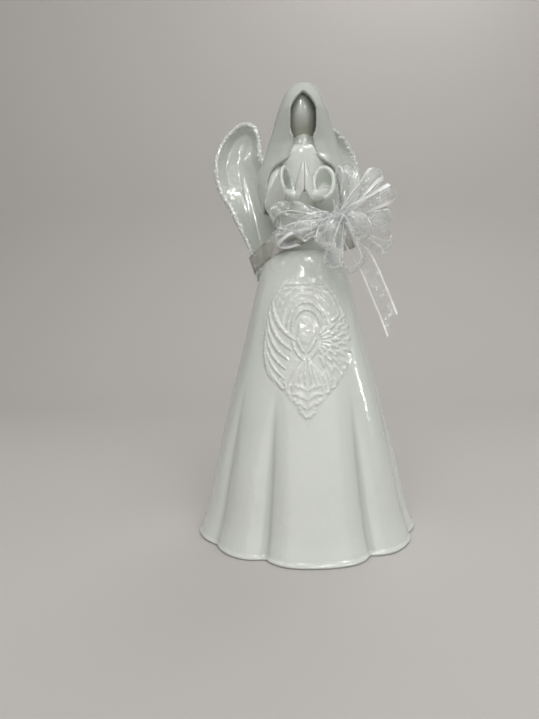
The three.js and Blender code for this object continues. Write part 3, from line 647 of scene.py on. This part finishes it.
# Slip is laid round the foot of the neck and fills the opening of the veil from edge to edge
collar_foot = 214 * mm
collar_height = 11.5 * mm
collar_middle = -5.5 * mm
collar_back = 6 * mm
collar_width = through([
    (0, 11.6 * mm), (0.35, 10.6 * mm), (0.6, 9.6 * mm), (0.85, 8.4 * mm), (1, 7.6 * mm),
])
collar_front = through([
    (0, 7.3 * mm), (0.35, 6.6 * mm), (0.6, 4.3 * mm), (0.85, 2.4 * mm), (1, 1.8 * mm),
])
collar = bmesh.new()
bmesh.ops.create_cone(collar, cap_ends=True, segments=64, radius1=1, radius2=1, depth=1)
upright = [e for e in collar.edges if abs(e.verts[0].co.z - e.verts[1].co.z) > 0.5]
bmesh.ops.subdivide_edges(collar, edges=upright, cuts=15, use_grid_fill=True)
for v in collar.verts:
    up_share = v.co.z + 0.5
    square = (abs(v.co.x) ** 3 + abs(v.co.y) ** 3) ** (-1 / 3)
    v.co = (
        v.co.x * square * collar_width(up_share),
        collar_middle + v.co.y * square * (collar_front(up_share) if v.co.y < 0 else collar_back),
        collar_foot + up_share * collar_height,
    )
collar_mesh = bpy.data.meshes.new("collar")
collar.to_mesh(collar_mesh)
collar.free()

neck_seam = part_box("neck")[0].z + 0.4 * mm
joined = [cast("bodice"), cast("neck"), collar_mesh]
bodice = luted("bodice_shell", joined, glazed("glazed bodice"), swell=0.1 * mm, below=neck_seam)
# The neck takes the darker body, as painted shade under the head and hood
neck = luted(
    "bare_neck", joined, glazed("glazed neck", body=painted_shade_white), swell=0.1 * mm, above=neck_seam,
)
bpy.data.meshes.remove(collar_mesh)
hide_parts("bodice")
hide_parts("neck")

# The face is left blank and slopes back to the chin. It is painted darker toward the chin, as
# painted shade, and the whole head takes a darker body than the gown, also as painted shade.
head_height = 25.4 * mm
head_half_width = 6.9 * mm
head_half_depth = 8.2 * mm
head_forward = 6.6 * mm
head_aside = -0.9 * mm
head_back = 1.35
head_shares = [
    (0, 0.66), (0.03, 0.8), (0.1, 0.9), (0.25, 0.98), (0.42, 1), (0.58, 0.97), (0.72, 0.88),
    (0.84, 0.74), (0.93, 0.56), (0.98, 0.34), (1, 0.1),
]
face_shares = [
    (0, 0.42), (0.13, 0.56), (0.3, 0.8), (0.5, 1.02), (0.7, 1.14), (0.85, 1.27), (1, 1.5),
]
head_outline = through(head_shares)
face_slope = through(face_shares)
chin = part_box("head")[1].z - head_height
head = bmesh.new()
bmesh.ops.create_uvsphere(head, u_segments=64, v_segments=48, radius=1)
for v in head.verts:
    up_share = (v.co.z + 1) / 2
    flat = Vector((v.co.x, v.co.y, 0))
    full = head_outline(up_share) * min(1, math.sqrt(max(0, 1 - v.co.z ** 2)) * 2.2)
    flat = flat.normalized() * full if flat.length > 1e-4 else flat
    deep = head_half_depth * (face_slope(up_share) if flat.y < 0 else head_back)
    broad = head_half_width * (1.02 + 0.36 * min(1, max(0, flat.y + 0.8)))
    v.co = (
        flat.x * broad + head_aside, flat.y * deep - head_forward, chin + up_share * head_height,
    )
soften(head, 3)
head = piece("plain_head", head, glazed(
    "glazed head", pooling_and_shade=1.3, body=(0.56, 0.58, 0.55), gathered=(0.36, 0.37, 0.31),
))
mark_hollows(head)
# Painted shade: the lower part of the head is marked as hollow, so it takes the darker colour
painted_chin_shade = [
    min(1, max(0, (chin + 0.5 * head_height - v.co.z) / (0.4 * head_height)))
    for v in head.data.vertices
]
head.data.attributes["hollow"].data.foreach_set("value", painted_chin_shade)
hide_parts("head")
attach(head, "root")

# Veil
# Hood and mantle are one draped slip-cast shell, from the crown to the elbows, with a thick
# rounded rim round the pointed opening.
# The veil is painted a darker white than the gown, as painted shade
veil = luted(
    "draped_veil", [cast("veil")], glazed("glazed veil", body=painted_shade_white), grain=0.5 * mm,
    swell=0.5 * mm, rounds=5, dome=Vector((0, -9 * mm, 225 * mm)), flat_rounds=25,
)
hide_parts("veil")

# Sleeves and hands
# Two arms in bell sleeves bend forward, each with an open cuff, and the hands are laid palm to
# palm between them. They are press-moulded and set on with slip.
for side in ("left", "right"):
    sleeve = luted(
        "bell_sleeve_" + side, [cast("sleeve_" + side)], glazed("glazed sleeve " + side),
        grain=0.45 * mm, swell=0.55 * mm, rounds=5,
    )
    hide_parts("sleeve_" + side)
    hand = luted(
        "praying_hand_" + side, [cast("hand_" + side)], glazed("glazed hand " + side),
        grain=0.35 * mm, rounds=3,
    )
    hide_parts("hand_" + side)

# Wings
# Each wing is a dished blade with a rolled rim and a long tail, cast by itself and stuck to the
# back of the figure. The glaze breaks into small lumps along the rim.
for side in ("left", "right"):
    # Painted glints: small white grains along the rim. Painted shade: a darker white than the gown
    finish = glazed(
        "glazed wing " + side, wave=330.0, lump=1.2 * mm, body=painted_shade_white, painted_glints=1.0,
    )
    wing = luted(
        "dished_wing_" + side, [cast("wing_" + side)], finish,
        spread=30, crest_from=0.35, crest_gain=9,
    )
    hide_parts("wing_" + side)

# Ribbon
# One length of sheer organza ribbon with a satin band woven along each edge. It is tied round
# the waist and over the wing tails, then folded to and fro in a bow and bound with a knot.
ribbon_width = 10 * mm
gather_share = 0.22
knot_place = Vector((18.4 * mm, -26 * mm, gown_height + 14.5 * mm))

# Plain weave between two satin bands. U runs across the ribbon and V along it, both in ribbon
# widths. Where folds would catch the light, highlights are painted: the cloth is made white and
# more opaque in thin lines and at the thread crossings. It is also denser where a loop folds over.
threads_per_width = 11
ribs_per_width = 26
weave, given, results = effect("organza_weave", takes={
    "Thread": "Color", "Satin": "Color", "Cover": "Float", "Band": "Float", "Shine": "Float",
    "Painted Sparkle": "Float",
}, gives={"Color": "Color", "Alpha": "Float", "Roughness": "Float", "Height": "Float"})


def stripes(along, count):
    turns = reckon(weave, "MULTIPLY", along, 2 * math.pi * count)
    return reckon(weave, "SINE", turns)


place = node(weave, "UVMap", uv_map="ribbon").outputs[0]
across, along = node(weave, "SeparateXYZ", {0: place}).outputs[:2]
off_middle = reckon(weave, "ABSOLUTE", reckon(weave, "SUBTRACT", across, 0.5))
from_edge = reckon(weave, "SUBTRACT", 0.5, off_middle)
band = reckon(weave, "LESS_THAN", from_edge, given["Band"])
threads = reckon(
    weave, "MULTIPLY", stripes(across, threads_per_width), stripes(along, threads_per_width),
)
cloudy = clouds(weave, place, 1.5, 3.0)
caught = ranged(weave, cloudy, 0.46, 0.58)
crease = reckon(weave, "SUBTRACT", clouds(weave, place, 1.1), 0.5)
crease = ranged(weave, reckon(weave, "ABSOLUTE", crease), 0.0, 0.018, 1.0, 0.0)
crease = reckon(weave, "MULTIPLY", caught, crease)
crossing_sparkle = ranged(weave, threads, 0.1, 0.7, 0.0, 0.6)
crossing_sparkle = reckon(weave, "MULTIPLY", caught, crossing_sparkle)
sparkle_and_fold = reckon(weave, "MAXIMUM", crossing_sparkle, crease)
sparkle_and_fold = reckon(weave, "MULTIPLY", sparkle_and_fold, given["Painted Sparkle"])
fold = node(weave, "Attribute", attribute_name="fold").outputs["Fac"]
sparkle_and_fold = reckon(weave, "ADD", sparkle_and_fold, fold)
woven = ranged(weave, threads, -0.6, 0.6, 0.6, 1.4)
patchy = ranged(weave, cloudy, 0.3, 0.7, 0.6, 1.4)
cover = reckon(weave, "MULTIPLY", reckon(weave, "MULTIPLY", woven, patchy), given["Cover"])
cover = reckon(weave, "ADD", cover, sparkle_and_fold, clamp=True)
satin = ranged(weave, cloudy, 0.42, 0.56, 0.4, 0.95)
satin = reckon(weave, "MAXIMUM", satin, given["Shine"])
alpha = node(weave, "Mix", {0: band, 2: cover, 3: satin}, data_type="FLOAT").outputs[0]
bright = reckon(weave, "ADD", band, sparkle_and_fold, clamp=True)
tint = node(
    weave, "Mix", {0: bright, 6: given["Thread"], 7: given["Satin"]}, data_type="RGBA",
).outputs[2]
rough = node(weave, "Mix", {0: band, 2: 0.2, 3: 0.24}, data_type="FLOAT").outputs[0]
height = node(
    weave, "Mix", {0: band, 2: threads, 3: stripes(along, ribs_per_width)}, data_type="FLOAT",
).outputs[0]
for result, title in (
    (tint, "Color"), (alpha, "Alpha"), (rough, "Roughness"), (height, "Height"),
):
    weave.links.new(result, results[title])


def organza(
    name, cover=0.25, band=0.1, shine=0.0, thread=(0.58, 0.61, 0.6), satin=(0.98, 0.99, 0.98),
    caught=1.0, sheen=0.25,
):
    made = material(
        name, satin, 0.4, Specular_IOR_Level=0.9, Sheen_Weight=sheen, Sheen_Roughness=0.4,
    )
    return finish_with(made, weave, {
        "Thread": (*thread, 1), "Satin": (*satin, 1), "Cover": cover, "Band": band,
        "Shine": shine, "Painted Sparkle": caught,
    }, 0.5, 0.1 * mm)


pleat_depth = 1.2 * mm
crumple_length = 6 * mm
curl_length = 4.2 * mm
fold_share = 0.03


def ribbon(
    title, stands_for, route, wide_at, full_at, steps, held, rests_on, seed, crumple,
    petal=0, cup=0, fold=0, slant_at=lambda s: 0, **look,
):
    """A strip of ribbon: its middle line, the way its width lies, and how far it is spread."""
    strip = bmesh.new()
    uv = strip.loops.layers.uv.new("ribbon")
    bmesh.ops.create_grid(strip, x_segments=16, y_segments=steps, size=0.5)
    centres = [route(k / steps) for k in range(steps + 1)]
    run = [0]
    for a, b in zip(centres, centres[1:]):
        run.append(run[-1] + (b - a).length)
    woven, folded = {}, []
    for v in strip.verts:
        w, s = v.co.x, v.co.y + 0.5
        folded.append(fold * math.exp(-(((s - 0.5) / fold_share) ** 2)))
        k = min(steps, round(s * steps))
        ahead = (centres[min(k + 1, steps)] - centres[max(k - 1, 0)]).normalized()
        wide = wide_at(s)
        wide = (wide - ahead * wide.dot(ahead)).normalized()
        face = wide.cross(ahead)
        full = full_at(s)
        pleat = (1 - full) * pleat_depth * math.sin(6 * math.pi * w + seed)
        bend = crumple * full * noise.noise(Vector((w * 1.8, run[k] / crumple_length, seed)))
        curl = crumple * full * (4 * w * w) * math.sin(run[k] / curl_length + seed + 2 * w)
        drawn = petal * (4 * w * w) * math.sin(math.pi * s) ** 6
        puff = cup * (1 - 4 * w * w) * math.sin(math.pi * s)
        woven[v.index] = (w + 0.5, (run[k] + w * slant_at(s)) / ribbon_width)
        v.co = (
            centres[k] + wide * (w * ribbon_width * full) + face * (pleat + bend + curl + puff)
            + ahead * (w * slant_at(s)) + (knot_place - centres[k]).normalized() * drawn
        )
    for f in strip.faces:
        for loop in f.loops:
            loop[uv].uv = woven[loop.vert.index]
    made = piece(title, strip, organza(title.replace("_", " "), **look))
    mark = made.data.attributes.new("fold", "FLOAT", "POINT")
    mark.data.foreach_set("value", folded)
    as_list(rests_on)
    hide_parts(stands_for)
    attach(made, "root")


# The band lies taut round the waist and the wing tails in one slanted plane, and both its ends
# come to the back of the knot. Its corners are where it turns over the edges that carry it.
sash_middle = Vector((0, 0, gown_height + 4.5 * mm))
sash_up = Vector((-0.345, 0.2, 1)).normalized()
sash_right = Vector((1, 0, 0.345)).normalized()
sash_back = sash_up.cross(sash_right)
tied = [v.co - sash_middle for v in cast("sash").vertices]
tied = [(p.dot(sash_right), p.dot(sash_back)) for p in tied]
corners = []
for k in range(720):
    x, y = math.cos(math.pi * k / 360), math.sin(math.pi * k / 360)
    corner = max(tied, key=lambda p: p[0] * x + p[1] * y)
    if not corners or math.dist(corner, corners[-1]) > 0.2 * mm:
        corners.append(corner)
corners = [sash_middle + sash_right * x + sash_back * y for x, y in corners]
first = min(range(len(corners)), key=lambda k: (corners[k] - knot_place).length)
corners = corners[first:] + corners[:first + 1]


def along_corners(s):
    """Place on the band at a share of its length."""
    left = s * sum((b - a).length for a, b in zip(corners, corners[1:]))
    for a, b in zip(corners, corners[1:]):
        if left <= (b - a).length:
            break
        left -= (b - a).length
    return a + (b - a).normalized() * left


# Painted shade: the sash's thread and satin bands are darker than the rest of the ribbon
ribbon(
    "waist_sash", "sash", along_corners, lambda s: sash_up,
    lambda s: gather_share + (1 - gather_share) * min(1, min(s, 1 - s) / 0.07) ** 0.7,
    260, "stretched", ["bodice_shell", "dished_wing_left"], seed=2, crumple=0.1 * mm, cover=0.6,
    band=0.12, thread=(0.38, 0.365, 0.31), satin=(0.26, 0.26, 0.2), caught=0.1, sheen=0.025,
)

# One long end of the ribbon falls to the right from the back of the knot and is cut aslant
tail_run = 64 * mm
tail_cut = 10.5 * mm
tail_across = through([
    (0, 0.012), (0.15, 0.1), (0.39, 0.24), (0.64, 0.335), (0.88, 0.42), (1, 0.4625),
])
tail_behind = through([
    (0, 0.19), (0.15, 0.3), (0.39, 0.3), (0.64, 0.26), (0.88, 0.24), (1, 0.24),
])
tail_rise = through([
    (0, -0.062), (0.15, -0.17), (0.39, -0.358), (0.64, -0.58), (0.88, -0.786), (1, -0.898),
])


def tail_route(s):
    return knot_place + Vector((
        tail_across(s) * tail_run, tail_behind(s) * -knot_place.y, tail_rise(s) * tail_run,
    ))


def tail_wide(s):
    ahead = tail_route(min(1, s + 0.01)) - tail_route(max(0, s - 0.01))
    return Vector((0, 1, 0)).cross(ahead).normalized()


ribbon(
    "long_end", "ribbon_tail", tail_route, tail_wide,
    lambda s: gather_share + (1 - gather_share) * min(1, s / 0.3) ** 0.8,
    110, "hung", ["bow_binding"], seed=5, crumple=0.35 * mm, cover=0.16, shine=0.85,
    slant_at=lambda s: tail_cut * max(0, (s - 0.8) / 0.2),
)

# The loops of the bow fan out from the knot in layers. Each row: angle, layer, share of the
# length, share of the bulge, tilt to the front, twist.
knot_half_width = 4.8 * mm
knot_half_height = 2.8 * mm
loop_length = 36 * mm
loop_bulge = 4 * mm
loop_opening = 1.25
loop_layer = 4 * mm
front_lift = 7 * mm
loop_wander_mm = 2.8
loop_sag = 1.2 * mm
loop_sway = math.radians(26)
ends_apart = 0.5 * mm
loops = [
    (80, 1, 0.84, 1.3, 2, 12), (3, 1, 0.76, 1.2, 0, 20), (-166, 1, 0.97, 1.2, 2, 20),
    (50, 0, 0.84, 1.2, 14, -10), (-30, 0, 0.86, 2, 10, 30), (-82, 0, 0.76, 2.3, 4, 90),
    (174, 0, 1.02, 1.6, 10, 25), (24, -1, 0.84, 1.2, 22, 10), (-102, -0.75, 0.76, 1.2, 20, 10),
    (-160, -0.8, 0.78, 1.6, 30, 15), (-116, -1.6, 0.74, 1.5, 36, 0), (-52, -1.5, 0.66, 1.7, 44, 0),
]


def bow_loop(seed, angle, layer, share, bulge, tilt, twist):
    turn, lean = math.radians(angle), math.radians(tilt)
    out = Vector((
        math.cos(turn) * math.cos(lean), -math.sin(lean), math.sin(turn) * math.cos(lean),
    ))
    flat = Vector((-math.sin(turn), 0, math.cos(turn)))
    wide = Matrix.Rotation(math.radians(twist), 3, out) @ flat
    opened = wide.cross(out).normalized()
    root = knot_place + Vector((0, layer * loop_layer, front_lift * max(0, -1 - layer)))
    length = loop_length * share
    reach = 1 / math.hypot(math.cos(turn) / knot_half_width, math.sin(turn) / knot_half_height)
    start = 0.8 * reach

    def route(s):
        a = 2 * math.pi * s
        swing = loop_bulge * bulge * math.sin(a) * math.sin(a / 2)
        sag = math.sin(math.pi * s) ** 2
        wander = Vector(noise.noise(Vector((seed, 2.2 * s, 7 * axis))) for axis in range(3))
        return (
            root + out * (start + (length - start) * (1 - math.cos(a)) / 2)
            + opened * (loop_opening * swing + ends_apart * math.cos(a / 2))
            + wander * loop_wander_mm * mm * sag - Vector((0, 0, loop_sag * sag))
        )

    def lies(s):
        sway = loop_sway * math.sin(2 * math.pi * s + seed)
        return Matrix.Rotation(sway, 3, out) @ wide

    def full(s):
        return gather_share + (1 - gather_share) * max(0, math.sin(math.pi * s)) ** 0.7

    return route, lies, full


# On these the satin bands are drawn wider and more opaque, a painted highlight where they face the
# light
painted_highlight_loops = (3, 4, 8)
for k, shape in enumerate(loops, 1):
    look = {"band": 0.17, "shine": 0.95} if k in painted_highlight_loops else {"band": 0.08}
    ribbon(
        f"ribbon_loop_{k}", f"bow_loop_{k}", *bow_loop(3.1 * k, *shape), 120, "gathered",
        ["bow_binding"], seed=3.1 * k, crumple=0.7 * mm, petal=1.8 * mm, cup=1.2 * mm,
        fold=0.5, **look,
    )

# The same ribbon is wound tight round the middle of the bow, in small pleats
knot_length = 12.5 * mm
binding_share = 0.95
binding = bmesh.new()
uv = binding.loops.layers.uv.new("ribbon")
bmesh.ops.create_cone(
    binding, cap_ends=True, cap_tris=False, segments=72, radius1=1, radius2=1, depth=1,
)
upright = [e for e in binding.edges if abs(e.verts[0].co.z - e.verts[1].co.z) > 0.5]
bmesh.ops.subdivide_edges(binding, edges=upright, cuts=40, use_grid_fill=True)
for f in binding.faces:
    centre = f.calc_center_median()
    faced = math.atan2(centre.y, centre.x)
    for loop in f.loops:
        turn = math.atan2(loop.vert.co.y, loop.vert.co.x)
        turn += 2 * math.pi * round((faced - turn) / (2 * math.pi))
        loop[uv].uv = (loop.vert.co.z + 0.5, turn / 2)
for v in binding.verts:
    along = v.co.z
    turn = math.atan2(v.co.y, v.co.x)
    full = math.sqrt(max(0.05, 1 - (2 * along) ** 6))
    pleat = 1 + 0.07 * math.sin(14 * turn + 3 * math.sin(9 * along))
    pleat += 0.05 * math.sin(24 * along)
    v.co = knot_place + Vector((
        knot_half_width * binding_share * full * pleat * math.cos(turn) * v.co.xy.length,
        along * knot_length,
        knot_half_height * binding_share * full * pleat * math.sin(turn) * v.co.xy.length,
    ))
bmesh.ops.recalc_face_normals(binding, faces=binding.faces)
binding = piece(
    "bow_binding", binding,
    organza("wound ribbon", cover=0.6, band=0.02, thread=(0.66, 0.69, 0.68)),
)
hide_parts("bow_knot")
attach(binding, "root")
